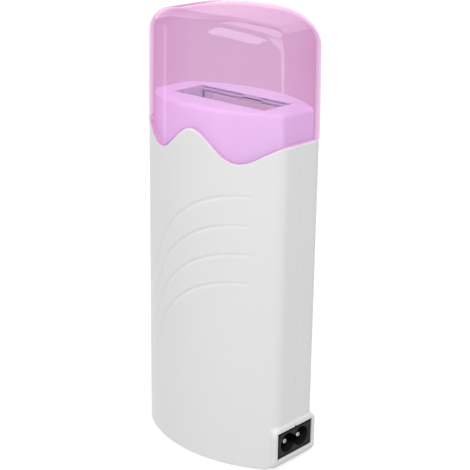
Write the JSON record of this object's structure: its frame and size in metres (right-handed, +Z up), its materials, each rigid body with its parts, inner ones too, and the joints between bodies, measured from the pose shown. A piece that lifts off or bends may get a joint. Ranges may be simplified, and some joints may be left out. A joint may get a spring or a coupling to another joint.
{
  "type": "roll on wax heater",
  "caption": "Upright heater for a roll-on wax cartridge: bowed casing with swept grooves, wavy-edged see-through lid, slot with a heated sleeve behind it, mains inlet low on one side.",
  "frame": {"origin": "on the table under the middle of the casing, halfway between its two sides and on the seam between its shells", "axes": "+Z up; +X to the side with the mains inlet; the grooved front faces -Y, so +Y is to the back"},
  "size_m": [0.0753, 0.0484, 0.1863],
  "materials": {
    "white_plastic": "glossy moulded, white",
    "lid_plastic": "polished, see-through pink",
    "neck_plastic": "satin moulded, cool white",
    "black_plastic": "satin moulded, black",
    "nylon": "moulded, natural",
    "rubber": "matte, dark",
    "aluminium": "plain sheet and extrusion",
    "steel": "zinc-plated",
    "pin_metal": "nickel-plated",
    "brass": "plain",
    "film": "polyimide film",
    "ceramic": "fired, dark grey",
    "braid": "woven glass fibre",
    "wire_red": "silicone cover",
    "wire_blue": "silicone cover"
  },
  "bodies": {
    "casing": {"front_shell": "white_plastic", "back_shell": "white_plastic", "body_screws": "steel", "rubber_feet": "rubber", "neck_frame": "neck_plastic", "heating_sleeve": "aluminium", "sleeve_screws": "steel", "sleeve_seat": "nylon", "heater_housing": "aluminium", "insulating_film": "film", "ptc_tablets": "ceramic", "inner_electrode": "brass", "outer_electrode": "brass", "heater_clamp": "steel", "clamp_rivets": "aluminium", "thermal_fuse": "aluminium", "fuse_sleeving": "braid", "wire_crimps": "brass", "inlet_body": "black_plastic", "front_pin": "pin_metal", "rear_pin": "pin_metal", "supply_wire": "wire_red", "fuse_wire": "wire_red", "return_wire": "wire_blue"},
    "lid": {"lid": "lid_plastic"}
  },
  "joints": [
    {"name": "lid_lift", "type": "slide", "parent": "casing", "child": "lid", "axis": [0, 0, 1], "range_m": [0, 0.06]}
  ]
}
